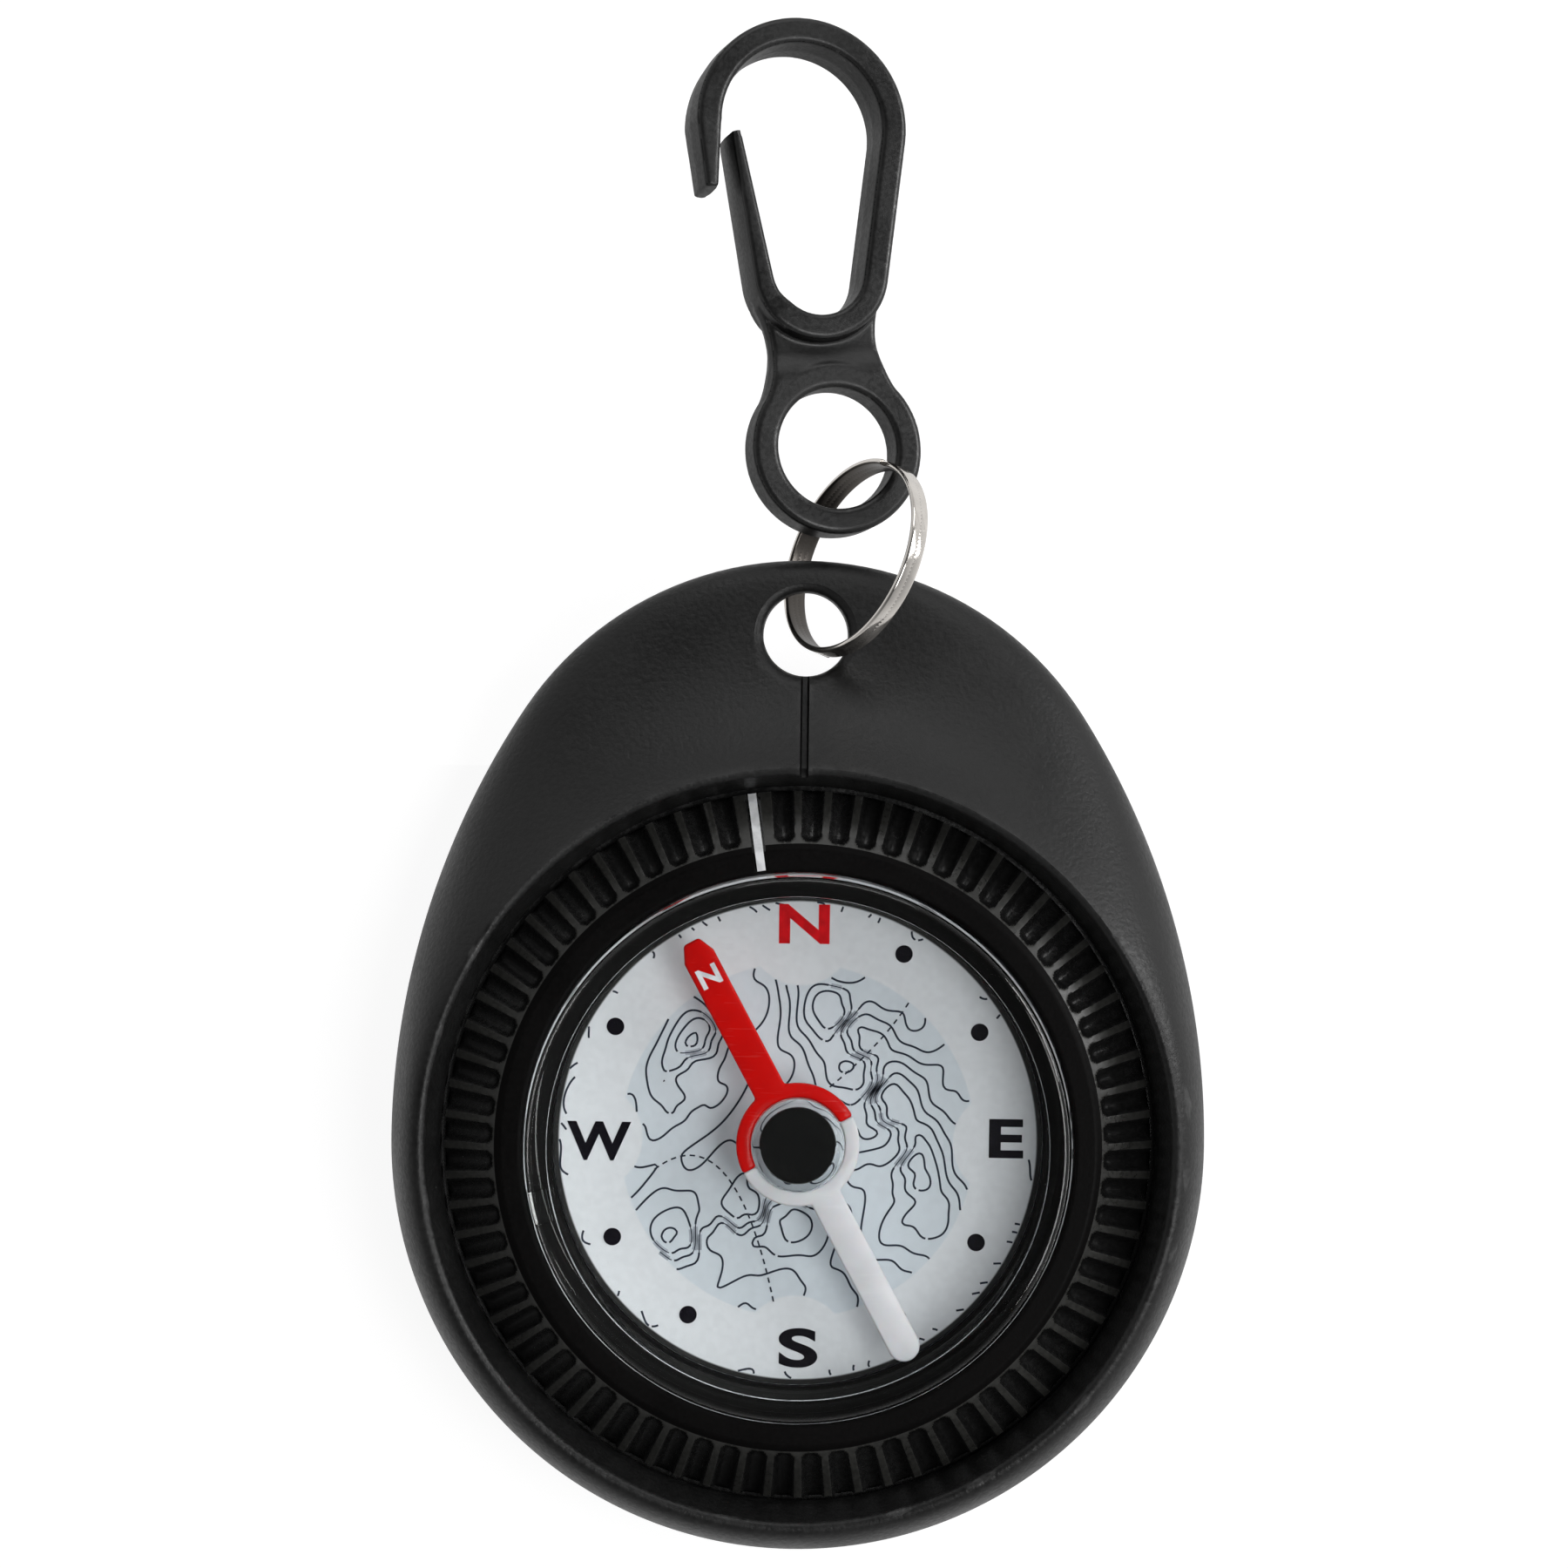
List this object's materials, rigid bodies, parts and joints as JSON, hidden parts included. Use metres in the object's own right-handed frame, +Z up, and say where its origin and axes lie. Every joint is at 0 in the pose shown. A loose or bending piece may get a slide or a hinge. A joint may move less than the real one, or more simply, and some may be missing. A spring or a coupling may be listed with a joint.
{
  "type": "clip-on pocket compass",
  "caption": "Egg-shaped black pocket compass with a ribbed turning bezel, a clear liquid capsule with a red and white needle, a split ring and a moulded snap hook.",
  "frame": {"origin": "on the flat back of the case, under the dial's axis", "axes": "+Z up out of the dial, +Y from the dial to the nose and the hook, +X to the dial's east"},
  "size_m": [0.044, 0.0828, 0.0105],
  "materials": {
    "case_black": "fine satin grain",
    "bezel_black": "matte band, satin ribs",
    "index_white": "smooth",
    "clear_acrylic": "polished clear",
    "seal_black": "smooth",
    "dial_white": "printed card",
    "pivot_steel": "polished",
    "bearing_brass": "turned",
    "needle_red": "smooth",
    "needle_white": "smooth",
    "hub_clear": "polished clear",
    "magnet_black": "dark ferrite",
    "ring_nickel": "bright nickel plate",
    "hook_black": "satin moulded"
  },
  "bodies": {
    "case": {"case_shell": "case_black", "back_cover": "case_black", "capsule_lens": "clear_acrylic", "capsule_base": "clear_acrylic", "capsule_seal": "seal_black", "fill_plug": "clear_acrylic", "dial_card": "dial_white", "pivot_pin": "pivot_steel"},
    "bezel": {"bezel_ring": "bezel_black", "bezel_index": "index_white"},
    "needle": {"needle_north": "needle_red", "needle_south": "needle_white", "needle_hub": "hub_clear", "needle_magnet": "magnet_black", "pivot_jewel": "bearing_brass"},
    "ring": {"split_ring": "ring_nickel"},
    "hook": {"hook_frame": "hook_black"},
    "gate": {"hook_gate": "hook_black"}
  },
  "joints": [
    {"name": "bezel_turn", "type": "hinge", "parent": "case", "child": "bezel", "pos_m": [0, 0, 0.007], "axis": [0, 0, 1], "continuous": true},
    {"name": "needle_swing", "type": "hinge", "parent": "case", "child": "needle", "pos_m": [0, 0, 0.006], "axis": [0, 0, 1], "continuous": true},
    {"name": "ring_tilt", "type": "hinge", "parent": "case", "child": "ring", "pos_m": [0.00259, 0.03145, 0.0054], "axis": [-0.3437, -0.9391, 0], "range_deg": [0, 34]},
    {"name": "hook_swing", "type": "hinge", "parent": "ring", "child": "hook", "pos_m": [0.00309, 0.03641, 0.00346], "axis": [-0.6034, -0.2376, -0.7612], "range_deg": [-25, 25]},
    {"name": "gate_flex", "type": "hinge", "parent": "hook", "child": "gate", "pos_m": [-0.00226, 0.04565, 0.00419], "axis": [-0.2445, -0.0656, -0.9674], "range_deg": [0, 12], "stiffness_Nm_per_rad": 0.02}
  ]
}
